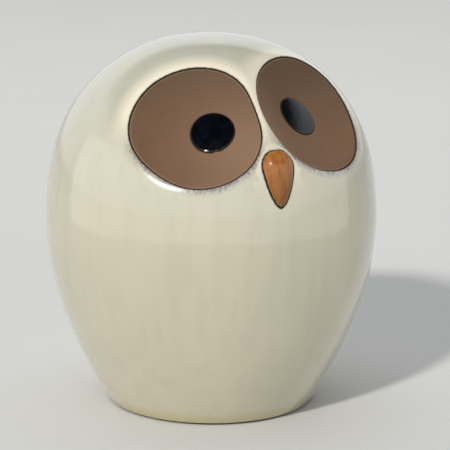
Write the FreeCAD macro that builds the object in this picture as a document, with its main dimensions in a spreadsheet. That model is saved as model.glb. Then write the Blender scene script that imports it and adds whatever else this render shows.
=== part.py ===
import FreeCAD, Part

import math
import os

import Sketcher

# An owl-shaped coin bank of glazed stoneware. Millimetres, +Z up, the face towards -Y.
# The origin is the centre of the foot, on the surface that the bank stands on. The owl's
# own left is +X.

SIZES = {
    # half-profile of the body: four arcs from foot to crown, each tangent to the next
    "foot_line": 1.2,
    "shell_foot_radius": 41.8,
    "flank_height": 40.4,
    "flank_radius": 60.9,
    "shoulder_height": 101.2,
    "lower_arc": 174.2,
    "side_arc": 113.9,
    "crown_arc": 61.6,
    "top_arc": 90.0,
    "wall": 5.5,
    "seam_height": 95.0,
    "seam_block": 150.0,
    # eyes: an oval recess each, square to a line that leans up and to its own side
    "eye_major": 26.4,
    "eye_minor": 24.2,
    "eye_lean": 30.0,
    "eye_turn": 28.8,
    "right_eye_rise": 35.8,
    "right_eye_reach": 49.6,
    "right_eye_height": 121.0,
    "left_eye_rise": 39.3,
    "left_eye_reach": 47.2,
    "left_eye_height": 123.9,
    "recess_depth": 4.2,
    "recess_cut": 18.0,
    "funnel_floor": 21.5,
    "funnel_top": 39.5,
    "backing": 4.5,
    "backing_major": 31.0,
    "backing_minor": 29.0,
    "disc_edge": 3.6,
    "dish_radius": 145.0,
    "dish_floor": 1.6,
    # pupils: a domed button each, bedded in the dish nearer to the beak than its middle
    "pupil_radius": 8.4,
    "right_pupil_inward": 6.2,
    "right_pupil_drop": 1.0,
    "left_pupil_inward": 2.9,
    "left_pupil_drop": 0.1,
    "pupil_bed": 0.9,
    "pupil_edge": 2.7,
    "pupil_top": 3.5,
    # beak: a teardrop turned about its own long axis, more than half sunk in the body
    "beak_length": 26.8,
    "beak_radius": 7.3,
    "beak_tip_radius": 1.3,
    "beak_flank": 40.7,
    "beak_turn": 1.9,
    "beak_tilt": 14.8,
    "beak_reach": 64.0,
    "beak_height": 87.7,
    # coin slot through the back of the head
    "slot_half_length": 19.0,
    "slot_half_width": 2.75,
    "slot_height": 114.0,
    "slot_start": 40.0,
    "slot_run": 30.0,
    # floor, with its foot ring and the hole for the stopper
    "foot_radius": 40.2,
    "foot_edge_radius": 41.2,
    "slab_seat_radius": 35.0,
    "slab_top_radius": 38.4,
    "slab_top": 7.5,
    "ring_radius": 33.0,
    "underside_radius": 32.0,
    "underside": 2.8,
    "hole_radius": 17.0,
    # rubber stopper: a cup that is open below, with a flange and a pull tab
    "plug_radius": 16.95,
    "plug_nose_radius": 15.95,
    "plug_shoulder": 8.5,
    "plug_top": 9.5,
    "flange_radius": 21.0,
    "flange_bottom": 0.7,
    "flange_top": 2.4,
    "cup_radius": 13.5,
    "cup_roof": 7.2,
    "tab_half_length": 8.0,
    "tab_thickness": 2.6,
    "tab_bottom": 1.2,
    "tab_root": 8.0,
}

START, END, CENTRE = 1, 2, 3
ORIGIN, ACROSS, UP = -1, -1, -2

doc = FreeCAD.newDocument("owl_bank")
sheet = doc.addObject("Spreadsheet::Sheet", "Sizes")


def fill_sheet():
    for row, (alias, value) in enumerate(SIZES.items(), start=1):
        sheet.set(f"A{row}", alias)
        sheet.set(f"B{row}", str(value))
        sheet.setAlias(f"B{row}", alias)
    doc.recompute()


def size(alias):
    return float(sheet.get(alias))


def bind(thing, **sizes):
    for name, expression in sizes.items():
        thing.setExpression(name, expression)
    return thing


def point(across, up):
    return FreeCAD.Vector(across, up, 0)


# ---- sketches


def new_sketch(body, name):
    sketch = body.newObject("Sketcher::SketchObject", name)
    plane = next(f for f in body.Origin.OriginFeatures if f.Role == "XZ_Plane")
    sketch.AttachmentSupport = [(plane, "")]
    sketch.MapMode = "FlatFace"
    return sketch


def hold(sketch, *terms, alias=None):
    """Adds one constraint. A dimension takes its value from the sheet."""
    value = (size(alias),) if alias else ()
    index = sketch.addConstraint(Sketcher.Constraint(*terms, *value))
    if alias:
        sketch.setExpression(f"Constraints[{index}]", f"Sizes.{alias}")


def pin_point(sketch, line, end, across, up):
    """Ties a point to two cells of the sheet. None leaves it on the axis."""
    if across:
        hold(sketch, "DistanceX", ORIGIN, START, line, end, alias=across)
    else:
        hold(sketch, "PointOnObject", line, end, UP)
    if up:
        hold(sketch, "DistanceY", ORIGIN, START, line, end, alias=up)
    else:
        hold(sketch, "PointOnObject", line, end, ACROSS)


def draw_polygon(sketch, corners):
    """A closed outline of straight lines. Each corner names its two cells."""
    places = [point(size(a) if a else 0.0, size(b) if b else 0.0) for a, b in corners]
    lines = len(places)
    for index, place in enumerate(places):
        sketch.addGeometry(Part.LineSegment(place, places[(index + 1) % lines]))
    for index, (across, up) in enumerate(corners):
        hold(sketch, "Coincident", (index - 1) % lines, END, index, START)
        pin_point(sketch, index, START, across, up)


def arc(centre, start, end):
    """An arc that runs anticlockwise from start to end."""
    circle = Part.Circle(centre, FreeCAD.Vector(0, 0, 1), (start - centre).Length)
    angles = [math.atan2((p - centre).y, (p - centre).x) for p in (start, end)]
    return Part.ArcOfCircle(circle, *angles)


def towards(place, target, distance):
    return place + (target - place).normalize() * distance


def draw_profile(sketch):
    """Half of the body's outline, from the glaze line at the foot to the crown."""
    foot = point(size("shell_foot_radius"), size("foot_line"))
    flank = point(size("flank_radius"), size("flank_height"))
    chord = flank - foot
    inward = point(-chord.y, chord.x).normalize()
    depth = math.sqrt(size("lower_arc") ** 2 - chord.Length**2 / 4)
    lower = (foot + flank) * 0.5 + inward * depth

    side = towards(flank, lower, size("side_arc"))
    rise = size("shoulder_height") - side.y
    shoulder = side + point(math.sqrt(size("side_arc") ** 2 - rise**2), rise)

    crown = towards(shoulder, side, size("crown_arc"))
    drop = math.sqrt((size("top_arc") - size("crown_arc")) ** 2 - crown.x**2)
    top = point(0, crown.y - drop)
    brow = towards(top, crown, size("top_arc"))
    apex = top + point(0, size("top_arc"))

    sketch.addGeometry(arc(lower, foot, flank))
    sketch.addGeometry(arc(side, flank, shoulder))
    sketch.addGeometry(arc(crown, shoulder, brow))
    sketch.addGeometry(arc(top, brow, apex))
    sketch.addGeometry(Part.LineSegment(apex, point(0, foot.y)))
    sketch.addGeometry(Part.LineSegment(point(0, foot.y), foot))

    for index in range(3):
        hold(sketch, "Tangent", index, END, index + 1, START)
    for index in range(3, 6):
        hold(sketch, "Coincident", index, END, (index + 1) % 6, START)
    for index, alias in enumerate(("lower_arc", "side_arc", "crown_arc", "top_arc")):
        hold(sketch, "Radius", index, alias=alias)
    pin_point(sketch, 0, START, "shell_foot_radius", "foot_line")
    pin_point(sketch, 0, END, "flank_radius", "flank_height")
    hold(sketch, "DistanceY", ORIGIN, START, 1, END, alias="shoulder_height")
    hold(sketch, "PointOnObject", 3, CENTRE, UP)
    hold(sketch, "PointOnObject", 3, END, UP)
    hold(sketch, "Vertical", 4)
    hold(sketch, "Horizontal", 5)


def draw_beak(sketch):
    """Half of a teardrop: a round tip, a flank and a round top, tangent to each other."""
    tip = point(0, size("beak_tip_radius"))
    top = point(0, size("beak_length") - size("beak_radius"))
    from_tip = size("beak_flank") - size("beak_tip_radius")
    from_top = size("beak_flank") - size("beak_radius")
    apart = top.y - tip.y
    up = (from_tip**2 - from_top**2 + apart**2) / (2 * apart)
    flank = tip + point(-math.sqrt(from_tip**2 - up**2), up)
    lower = towards(flank, tip, size("beak_flank"))
    upper = towards(flank, top, size("beak_flank"))
    apex = point(0, size("beak_length"))

    sketch.addGeometry(arc(tip, point(0, 0), lower))
    sketch.addGeometry(arc(flank, lower, upper))
    sketch.addGeometry(arc(top, upper, apex))
    sketch.addGeometry(Part.LineSegment(apex, point(0, 0)))

    hold(sketch, "Tangent", 0, END, 1, START)
    hold(sketch, "Tangent", 1, END, 2, START)
    hold(sketch, "Coincident", 2, END, 3, START)
    hold(sketch, "Coincident", 3, END, 0, START)
    for index, alias in enumerate(("beak_tip_radius", "beak_flank", "beak_radius")):
        hold(sketch, "Radius", index, alias=alias)
    hold(sketch, "Coincident", 0, START, ORIGIN, START)
    hold(sketch, "PointOnObject", 0, CENTRE, UP)
    hold(sketch, "PointOnObject", 2, CENTRE, UP)
    pin_point(sketch, 2, END, None, "beak_length")


def draw_pupil(sketch):
    """Half of a button: a flat bed, a straight side and a dome."""
    radius, edge, bed, top = map(size, ("pupil_radius", "pupil_edge", "pupil_bed", "pupil_top"))
    rise = top - edge
    centre = point(0, top - (radius**2 + rise**2) / (2 * rise))

    sketch.addGeometry(arc(centre, point(radius, edge), point(0, top)))
    sketch.addGeometry(Part.LineSegment(point(0, top), point(0, bed)))
    sketch.addGeometry(Part.LineSegment(point(0, bed), point(radius, bed)))
    sketch.addGeometry(Part.LineSegment(point(radius, bed), point(radius, edge)))

    for index in range(4):
        hold(sketch, "Coincident", index, END, (index + 1) % 4, START)
    hold(sketch, "PointOnObject", 0, CENTRE, UP)
    pin_point(sketch, 0, START, "pupil_radius", "pupil_edge")
    pin_point(sketch, 0, END, None, "pupil_top")
    pin_point(sketch, 1, END, None, "pupil_bed")
    hold(sketch, "Horizontal", 2)
    hold(sketch, "Vertical", 3)


def draw_slot(sketch):
    """A straight slot with round ends, about the origin."""
    half, radius = size("slot_half_length"), size("slot_half_width")
    reach = half - radius
    signs = ((1, -1), (1, 1), (-1, 1), (-1, -1))
    corners = [point(x * reach, z * radius) for x, z in signs]

    sketch.addGeometry(arc(point(reach, 0), corners[0], corners[1]))
    sketch.addGeometry(Part.LineSegment(corners[1], corners[2]))
    sketch.addGeometry(arc(point(-reach, 0), corners[2], corners[3]))
    sketch.addGeometry(Part.LineSegment(corners[3], corners[0]))

    for index in range(4):
        hold(sketch, "Tangent", index, END, (index + 1) % 4, START)
    hold(sketch, "Symmetric", 0, CENTRE, 2, CENTRE, ORIGIN, START)
    hold(sketch, "Horizontal", 1)
    hold(sketch, "Radius", 0, alias="slot_half_width")
    index = sketch.addConstraint(Sketcher.Constraint("DistanceX", ORIGIN, START, 0, CENTRE, reach))
    sketch.setExpression(f"Constraints[{index}]", "Sizes.slot_half_length - Sizes.slot_half_width")


def draw_tab(sketch):
    """The pull tab, seen from the front: its root is inside the roof of the cup."""
    half, bottom, root = map(size, ("tab_half_length", "tab_bottom", "tab_root"))
    corners = [point(-half, bottom), point(half, bottom), point(half, root), point(-half, root)]
    for index, corner in enumerate(corners):
        sketch.addGeometry(Part.LineSegment(corner, corners[(index + 1) % 4]))

    for index in range(4):
        hold(sketch, "Coincident", index, END, (index + 1) % 4, START)
    hold(sketch, "Vertical", 1)
    hold(sketch, "Horizontal", 2)
    hold(sketch, "Vertical", 3)
    pin_point(sketch, 1, START, "tab_half_length", "tab_bottom")
    hold(sketch, "DistanceY", ORIGIN, START, 2, START, alias="tab_root")
    hold(sketch, "Symmetric", 0, START, 0, END, UP)


# ---- solids


def new_body(name, draw, *corners):
    """A body and its one outline, ready for a first feature."""
    body = doc.addObject("PartDesign::Body", name)
    sketch = new_sketch(body, f"{name}_outline")
    draw(sketch, *corners)
    return body, sketch


def turned(name, draw, *corners):
    """A body turned about the upright axis of its own outline."""
    body, sketch = new_body(name, draw, *corners)
    turn = body.newObject("PartDesign::Revolution", f"{name}_turned")
    turn.Profile = sketch
    turn.ReferenceAxis = (sketch, ["V_Axis"])
    turn.Angle = 360
    doc.recompute()
    return body


def padded(body, sketch, length):
    """A pad to both sides of its outline."""
    pad = body.newObject("PartDesign::Pad", f"{sketch.Name}_pad")
    pad.Profile = sketch
    pad.SideType = "Symmetric"
    bind(pad, Length=length)
    doc.recompute()
    return pad


def boolean(kind, name, base, tool):
    result = doc.addObject(f"Part::{kind}", name)
    result.Base = base
    result.Tool = tool
    return result


def fused(name, *shapes):
    result = doc.addObject("Part::MultiFuse", name)
    result.Shapes = list(shapes)
    return result


def extruded(name, oval, forward, back="0"):
    """The solid that an oval sweeps along its own +Z, which an ellipse's normal opposes."""
    result = doc.addObject("Part::Extrusion", name)
    result.Base = oval
    result.DirMode = "Normal"
    result.Reversed = True
    result.Solid = True
    return bind(result, LengthFwd=forward, LengthRev=back)


class Eye:
    """The oval of one eye, on the floor of its recess, and what is built on it."""

    def __init__(self, side, sign):
        self.side = side
        self.sign = sign
        self.turn = f"{sign} * Sizes.eye_turn"
        self.rise = f"Sizes.{side}_eye_rise"
        self.reach = f"(Sizes.{side}_eye_reach - Sizes.recess_depth * cos({self.rise} * 1deg))"
        self.height = f"Sizes.{side}_eye_height - Sizes.recess_depth * sin({self.rise} * 1deg)"
        self.pupil_spot = f"Sizes.{side}_pupil_inward", f"Sizes.{side}_pupil_drop"

    def place(self):
        """At the middle of the recess floor, +Z straight out of the eye and +Y up it."""
        spot = (
            f"vector({self.reach} * sin({self.turn} * 1deg);"
            f" -{self.reach} * cos({self.turn} * 1deg); {self.height})"
        )
        return f"placement({spot}; rotation({self.turn}; 0; 90 - {self.rise}))"

    def shifted(self, inward="0", drop="0", out="0"):
        """A place in the eye's own frame, inward being towards the beak."""
        move = f"vector({-self.sign} * {inward}; -{drop}; {out})"
        return f"{self.place()} * placement({move}; rotation(0; 0; 0))"

    def oval(self, name, major, minor):
        outline = doc.addObject("Part::Ellipse", f"{self.side}_{name}")
        lean = f"90 - {self.sign} * Sizes.eye_lean"
        spin = f"placement(vector(0; 0; 0); rotation({lean}; 0; 0))"
        return bind(outline, MajorRadius=major, MinorRadius=minor, Placement=f"{self.place()} * {spin}")

    def tapered(self, name, depth):
        """An oval block whose lower edge is cut back by a cone, clear of the other eye."""
        outline = self.oval(f"{name}_oval", "Sizes.eye_major", "Sizes.eye_minor")
        block = extruded(f"{self.side}_{name}_block", outline, depth)
        cone = doc.addObject("Part::Cone", f"{self.side}_{name}_cone")
        bind(cone, Radius1="Sizes.funnel_floor", Radius2="Sizes.funnel_top")
        bind(cone, Height="Sizes.recess_cut", Placement=self.place())
        return boolean("Common", f"{self.side}_{name}", block, cone)

    def recess(self):
        return self.tapered("recess", "Sizes.recess_cut")

    def backing(self, form):
        outline = self.oval("backing_oval", "Sizes.backing_major", "Sizes.backing_minor")
        block = extruded(f"{self.side}_backing_block", outline, "Sizes.recess_cut", "Sizes.backing")
        return boolean("Common", f"{self.side}_backing", form, block)

    def disc(self):
        blank = self.tapered("blank", "Sizes.disc_edge")
        ball = doc.addObject("Part::Sphere", f"{self.side}_dish")
        centre = self.shifted(out="(Sizes.dish_floor + Sizes.dish_radius)")
        bind(ball, Radius="Sizes.dish_radius", Placement=centre)
        socket = doc.addObject("Part::Cylinder", f"{self.side}_socket")
        seat = self.shifted(*self.pupil_spot, "Sizes.pupil_bed")
        bind(socket, Radius="Sizes.pupil_radius", Height="Sizes.recess_cut", Placement=seat)
        dished = boolean("Cut", f"{self.side}_dished", blank, ball)
        return boolean("Cut", f"{self.side}_eye_disc", dished, socket)

    def pupil(self):
        body = turned(f"{self.side}_pupil", draw_pupil)
        return bind(body, Placement=self.shifted(*self.pupil_spot))


def make_slot():
    body, sketch = new_body("coin_slot", draw_slot)
    padded(body, sketch, "Sizes.slot_run")
    spot = "vector(0; Sizes.slot_start + Sizes.slot_run / 2; Sizes.slot_height)"
    return bind(body, Placement=f"placement({spot}; rotation(0; 0; 0))")


def make_shell(form, eyes):
    """The hollow body, and the head luted to it: an even wall, thickened behind each eye."""
    foot = min(enumerate(form.Shape.Faces, start=1), key=lambda face: face[1].CenterOfMass.z)
    wall = doc.addObject("Part::Thickness", "wall")
    wall.Faces = (form, [f"Face{foot[0]}"])
    wall.Mode = "Skin"
    wall.Join = "Arc"
    bind(wall, Value="-Sizes.wall")
    blank = fused("shell_blank", wall, *(eye.backing(form) for eye in eyes))
    openings = fused("shell_openings", make_slot(), *(eye.recess() for eye in eyes))
    shell = boolean("Cut", "whole_shell", blank, openings)
    above = doc.addObject("Part::Box", "above_seam")
    sides = {side: "Sizes.seam_block" for side in ("Length", "Width", "Height")}
    corner = "placement(vector(-Sizes.seam_block / 2; -Sizes.seam_block / 2; Sizes.seam_height)"
    bind(above, **sides, Placement=f"{corner}; rotation(0; 0; 0))")
    return [boolean("Cut", "body_shell", shell, above), boolean("Common", "head_shell", shell, above)]


def make_slab():
    """The floor, which closes the body and stands on a bare ring."""
    corners = (
        ("hole_radius", "underside"),
        ("underside_radius", "underside"),
        ("ring_radius", None),
        ("foot_radius", None),
        ("foot_edge_radius", "foot_line"),
        ("slab_seat_radius", "foot_line"),
        ("slab_top_radius", "slab_top"),
        ("hole_radius", "slab_top"),
    )
    return turned("base_slab", draw_polygon, corners)


def make_stopper():
    """A rubber cup with a flange, and a tab across its hollow to pull it by."""
    corners = (
        (None, "cup_roof"),
        ("cup_radius", "cup_roof"),
        ("cup_radius", "flange_bottom"),
        ("flange_radius", "flange_bottom"),
        ("flange_radius", "flange_top"),
        ("plug_radius", "flange_top"),
        ("plug_radius", "plug_shoulder"),
        ("plug_nose_radius", "plug_top"),
        (None, "plug_top"),
    )
    body = turned("stopper", draw_polygon, corners)
    tab = new_sketch(body, "pull_tab")
    draw_tab(tab)
    padded(body, tab, "Sizes.tab_thickness")
    return body


def make_beak(form):
    """The teardrop, less the part of it that would lie inside the body."""
    body = turned("beak_form", draw_beak)
    spot = (
        "vector(Sizes.beak_reach * sin(Sizes.beak_turn * 1deg);"
        " -Sizes.beak_reach * cos(Sizes.beak_turn * 1deg); Sizes.beak_height)"
    )
    lean = f"placement({spot}; rotation(Sizes.beak_turn; 0; -Sizes.beak_tilt))"
    seam_inside = "placement(vector(0; 0; 0); rotation(90; 0; 0))"
    bind(body, Placement=f"{lean} * {seam_inside}")
    return boolean("Cut", "beak", body, form)


def check(parts):
    """Stops unless every object is computed and every sub-part is one sound solid."""
    for thing in doc.Objects:
        if {"Invalid", "Error"} & set(thing.State):
            raise SystemExit(f"{thing.Label} failed: {thing.State}")
    for part in parts:
        shape = part.Shape
        if shape.isNull() or not shape.isValid() or len(shape.Solids) != 1:
            raise SystemExit(f"{part.Label} is not one sound solid")
        print(f"{part.Label}: {shape.Volume / 1000:.2f} cm3, {shape.optimalBoundingBox()}")


def main():
    fill_sheet()
    form = turned("owl_form", draw_profile)
    eyes = [Eye("right", -1), Eye("left", 1)]
    parts = make_shell(form, eyes) + [make_slab(), make_stopper(), make_beak(form)]
    for eye in eyes:
        parts += [eye.disc(), eye.pupil()]
    doc.recompute()
    check(parts)
    os.makedirs("parts", exist_ok=True)
    for part in parts:
        part.Shape.exportStep(f"parts/{part.Label}.step")


main()
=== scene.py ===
"""The looks of the owl coin bank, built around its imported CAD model.

Metres, in the CAD model's frame: +Z up, the face towards -Y, the origin at the foot's centre.
Lengths below are named in millimetres and turned into metres by MM where a mesh is made.
"""

import math

import bmesh
import bpy
import numpy as np
from mathutils import Matrix, Vector
from mathutils.geometry import delaunay_2d_cdt


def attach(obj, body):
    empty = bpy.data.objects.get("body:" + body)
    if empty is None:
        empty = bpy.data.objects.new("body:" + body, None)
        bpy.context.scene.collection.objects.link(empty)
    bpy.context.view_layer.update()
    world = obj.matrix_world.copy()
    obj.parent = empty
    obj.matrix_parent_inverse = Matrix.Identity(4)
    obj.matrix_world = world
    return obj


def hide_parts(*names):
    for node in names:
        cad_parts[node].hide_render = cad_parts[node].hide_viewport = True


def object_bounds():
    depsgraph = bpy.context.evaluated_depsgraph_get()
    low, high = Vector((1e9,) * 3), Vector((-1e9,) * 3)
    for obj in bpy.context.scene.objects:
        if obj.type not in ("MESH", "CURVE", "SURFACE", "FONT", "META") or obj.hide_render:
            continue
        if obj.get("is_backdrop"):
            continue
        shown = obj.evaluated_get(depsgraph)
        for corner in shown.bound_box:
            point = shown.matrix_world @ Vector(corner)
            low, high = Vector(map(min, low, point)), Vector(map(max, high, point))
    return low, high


MM = 0.001

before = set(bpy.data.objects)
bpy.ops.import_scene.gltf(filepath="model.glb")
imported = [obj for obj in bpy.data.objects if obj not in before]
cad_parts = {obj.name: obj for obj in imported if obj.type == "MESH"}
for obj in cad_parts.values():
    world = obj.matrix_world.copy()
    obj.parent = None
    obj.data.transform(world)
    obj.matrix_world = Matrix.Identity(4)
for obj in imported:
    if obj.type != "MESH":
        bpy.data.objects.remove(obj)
cad_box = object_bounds()


# ---------------- driving dimensions, mm

FOOT_LINE = 1.2
FOOT_POINT = (41.8, FOOT_LINE)
FLANK_POINT = (60.9, 40.4)
SHOULDER_HEIGHT = 101.2
LOWER_ARC, SIDE_ARC, CROWN_ARC, TOP_ARC = 174.2, 113.9, 61.6, 90.0
WALL = 5.5

RECESS_DEPTH = 4.2
DISH_DEPTH = 2.1
RIM_BLEND = 2.2
GLAZE = 0.5
LIP = 0.6

SLOT_HALF_LENGTH = 19.0
SLOT_HALF_WIDTH = 2.75
SLOT_HEIGHT = 114.0
SLOT_LIP = 1.4

DISC_DROP = 0.45
DISC_BOTTOM = 4.1
DISC_GAP = 0.1
DISC_ROUND = 0.35
SOCKET_GAP = 0.12
SOCKET_ROUND = 0.25
SOCKET_DEPTH = 3.3

PUPIL_RADIUS = 8.4
PUPIL_PROUD = 0.3
PUPIL_ROUND = 0.5
PUPIL_SPREAD = 1.6
PUPIL_DOME = 0.35
PUPIL_BEDDED = 2.3

BEAK_LENGTH = 26.8
BEAK_RADIUS = 7.3
BEAK_TIP_RADIUS = 1.3
BEAK_FLANK = 40.7
BEAK_TURN = math.radians(1.9)
BEAK_TILT = math.radians(14.8)
BEAK_REACH = 64.0
BEAK_HEIGHT = 87.7
BEAK_BURIED = 0.5

RING_RADIUS, FOOT_RADIUS, FOOT_EDGE_RADIUS = 33.0, 40.2, 41.2
UNDERSIDE, UNDERSIDE_RADIUS = 2.8, 32.0
SLAB_TOP, SLAB_TOP_RADIUS, SLAB_SEAT_RADIUS = 7.5, 38.2, 35.2
HOLE_RADIUS = 17.0

PLUG_RADIUS, PLUG_NOSE_RADIUS = 16.95, 15.95
PLUG_SHOULDER, PLUG_TOP = 8.5, 9.5
FLANGE_RADIUS, FLANGE_BOTTOM, FLANGE_TOP = 21.0, 0.7, 2.4
CUP_RADIUS, CUP_ROOF = 13.5, 7.2
TAB_HALF_LENGTH, TAB_HALF_WIDTH, TAB_ROUND = 8.0, 1.3, 1.0
TAB_BOTTOM, TAB_ROOT = 1.2, 8.0


# ---------------- fineness of the meshes

ARC_STEP = 0.02
SPACING = 1.8
INNER_SPACING = SPACING * 2.2
COLUMNS = 96
FOOT_COLUMNS = 240
RING = 200
BEAK_FRONT, BEAK_BACK = 41, 9
EYE_FRINGE = ((1.0, 190), (1.6, 170), (2.4, 150), (3.4, 120))
BEAK_FRINGE = (-0.35, 0.0, 0.3, 0.65, 1.1, 1.7)

FAR = 99.0
TINY = 1e-6
TAU = 2 * math.pi
UP = np.array([0.0, 0.0, 1.0])


# ---------------- camera and light: m, W

CAMERA_LENS = 176.0
CAMERA_SENSOR = 36.0
CAMERA_DISTANCE = 0.894
CAMERA_TARGET_HEIGHT = 0.0718
CAMERA_AZIMUTH = math.radians(-21.8)
CAMERA_ELEVATION = math.radians(12.91)
CAMERA_ROLL = math.radians(0.41)
CAMERA_SHIFT = 0.0309
CAMERA_CLIP = (0.05, 200)
FLOOR_REACH = 60.0

LIGHT_TARGET = (0, 0, 0.07)
KEY_PLACE = (-1.13, -0.97, 1.15)
KEY_STRENGTH = 2.1
KEY_ANGLE = math.radians(5)
KEY_COLOUR = (1.0, 0.97, 0.92)
WINDOW_TURNS = (-102, -50, 2, 54)
WINDOW_REACH = 0.45
WINDOW_SIZE = (0.44, 0.30)
WINDOW_POWER = 0.27
WINDOW_COLOUR = (0.93, 0.97, 1.0)
FILL_PLACE = (0.10, 0.45, 1.40)
FILL_TARGET = (0.05, 0.15, 0)
FILL_SIZE = (1.6, 1.6)
FILL_POWER = 8.5
FILL_COLOUR = (0.95, 0.98, 1.0)
ROOM_FADE = (0.48, 0.62)
ROOM_PALE = 0.86
ROOM_DARK = 0.05
ROOM_COLOUR = (0.97, 0.985, 1.0, 1)


# ---------------- the turned form


def around(turn, r, z):
    """Points at a radius and height, turn being the angle from the face towards +X."""
    return np.stack(np.broadcast_arrays(r * np.sin(turn), -r * np.cos(turn), z), -1)


def arc(centre, start, end, count=None):
    """Angles and points of an arc: so many of them, or one each ARC_STEP."""
    radius = np.linalg.norm(start - centre)
    first, last = (math.atan2(*(p - centre)[::-1]) for p in (start, end))
    count = count or max(8, int(radius * (last - first) / ARC_STEP))
    angles = np.linspace(first, last, count)
    return angles, centre + radius * np.stack([np.cos(angles), np.sin(angles)], -1)


class Form:
    """The body's half-profile of four tangent arcs, by length s from foot to crown."""

    def __init__(self):
        foot, flank = np.array(FOOT_POINT), np.array(FLANK_POINT)
        chord = flank - foot
        length = np.linalg.norm(chord)
        inward = np.array([-chord[1], chord[0]]) / length
        lower = (foot + flank) / 2 + inward * math.sqrt(LOWER_ARC**2 - length**2 / 4)
        side = flank + (lower - flank) * SIDE_ARC / LOWER_ARC
        rise = SHOULDER_HEIGHT - side[1]
        shoulder = side + np.array([math.sqrt(SIDE_ARC**2 - rise**2), rise])
        crown = shoulder + (side - shoulder) * CROWN_ARC / SIDE_ARC
        drop = math.sqrt((TOP_ARC - CROWN_ARC) ** 2 - crown[0] ** 2)
        top = np.array([0.0, crown[1] - drop])
        brow = top + (crown - top) * TOP_ARC / (TOP_ARC - CROWN_ARC)
        apex = top + np.array([0.0, TOP_ARC])

        stations = []
        arcs = (
            (lower, foot, flank),
            (side, flank, shoulder),
            (crown, shoulder, brow),
            (top, brow, apex),
        )
        for centre, start, end in arcs:
            angles, points = arc(centre, start, end)
            stations.append(np.column_stack([points, -angles])[: None if end is apex else -1])
        table = np.concatenate(stations)
        steps = np.linalg.norm(np.diff(table[:, :2], axis=0), axis=1)
        self.s = np.concatenate([[0.0], np.cumsum(steps)])
        self.r, self.z, self.lean = table.T
        self.length = self.s[-1]
        middle = (self.r[1:] + self.r[:-1]) / 2
        self.log_chart = np.concatenate([[0.0], -np.cumsum(steps / middle)])

    def at(self, turn, s):
        """Points of the form."""
        return around(turn, np.interp(s, self.s, self.r), np.interp(s, self.s, self.z))

    def normal(self, turn, s):
        """Unit normals of the form."""
        lean = np.interp(s, self.s, self.lean)
        return around(turn, np.cos(lean), -np.sin(lean))

    def chart(self, turn, s):
        """A flat map of the form that keeps angles: the crown is its middle."""
        reach = np.exp(np.interp(s, self.s, self.log_chart))
        return np.stack([reach * np.cos(turn), reach * np.sin(turn)], -1)

    def locate(self, points):
        """turn and s of points that lie on the form, away from the crown."""
        return np.arctan2(points[:, 0], -points[:, 1]), np.interp(points[:, 2], self.z, self.s)


form = Form()


def facing(turn):
    """The level direction at an angle from the face towards +X."""
    return np.array([math.sin(turn), -math.cos(turn), 0.0])


def beside(turn):
    """The level direction square to it."""
    return np.array([math.cos(turn), math.sin(turn), 0.0])


def smooth_min(a, b, blend):
    """The smaller of two, rounded over where they come within a blend of each other."""
    share = np.clip(0.5 + 0.5 * (b - a) / blend, 0, 1)
    return b + (a - b) * share - blend * share * (1 - share)


class Eye:
    """One pressed eye: its plane, the oval outline in it, the dish and the pupil's place."""

    BEHIND = -30.0
    BEFORE = 20.0
    HALVINGS = 45
    PRESS_DEPTH, PRESS_REACH = -25.0, 60.0

    def __init__(self, side, sign, turn, rise, reach, height, radius, pupil, waves):
        self.side, self.sign, self.radius, self.waves = side, sign, radius, waves
        turn, rise = math.radians(turn), math.radians(rise)
        inward, drop = pupil
        self.pupil = np.array([-sign * inward, -drop])
        self.out = facing(turn) * math.cos(rise) + UP * math.sin(rise)
        self.across = beside(turn)
        self.up = np.cross(self.out, self.across)
        self.centre = facing(turn) * reach + UP * height

    def local(self, points):
        """x, y and height of points in the eye's plane."""
        away = points - self.centre
        return away @ self.across, away @ self.up, away @ self.out

    def world(self, x, y, z):
        """Points that are at x, y and height z in the eye's plane."""
        along = np.multiply.outer
        return self.centre + along(x, self.across) + along(y, self.up) + along(z, self.out)

    def oval(self, angle):
        """Radius of the outline and its slope: a circle with a few slow waves."""
        reach, slope = np.full_like(angle, self.radius), np.zeros_like(angle)
        for order, (even, odd) in self.waves.items():
            wave, turned = np.cos(order * angle), np.sin(order * angle)
            reach = reach + even * wave + odd * turned
            slope = slope + order * (odd * wave - even * turned)
        return reach, slope

    def outline(self, angle, offset):
        """Points of the eye's plane at an offset from the outline, outward positive."""
        reach, slope = self.oval(angle)
        tilt = np.arctan2(slope, reach)
        x = reach * np.cos(angle) + offset * np.cos(angle - tilt)
        y = reach * np.sin(angle) + offset * np.sin(angle - tilt)
        return x, y

    def distance(self, points):
        """Distance outside the outline, of points seen along the eye's axis."""
        x, y, z = self.local(points)
        reach, slope = self.oval(np.arctan2(y, x))
        away = (np.hypot(x, y) - reach) * np.cos(np.arctan2(slope, reach))
        return np.where(z < self.BEHIND, FAR, away)

    def dish(self, x, y):
        """Height of the dish, which is 0 at the outline."""
        return DISH_DEPTH * ((x * x + y * y) / self.radius**2 - 1)

    def form_height(self, x, y):
        """Height of the turned form over the eye's plane."""
        low, high = np.full_like(x, self.BEHIND), np.full_like(x, self.BEFORE)
        for _ in range(self.HALVINGS):
            middle = (low + high) / 2
            p = self.world(x, y, middle)
            inside = np.hypot(p[..., 0], p[..., 1]) < np.interp(p[..., 2], form.z, form.r)
            low, high = np.where(inside, middle, low), np.where(inside, high, middle)
        return (low + high) / 2

    def press(self, points, start):
        """The points after the dish is pressed in. start are the same points on the form."""
        x, y, z = self.local(start)
        sunk = smooth_min(z, self.dish(x, y), RIM_BLEND) - z
        near = (z > self.PRESS_DEPTH) & (np.hypot(x, y) < self.PRESS_REACH)
        return points + np.where(near, sunk, 0.0)[:, None] * self.out


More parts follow.
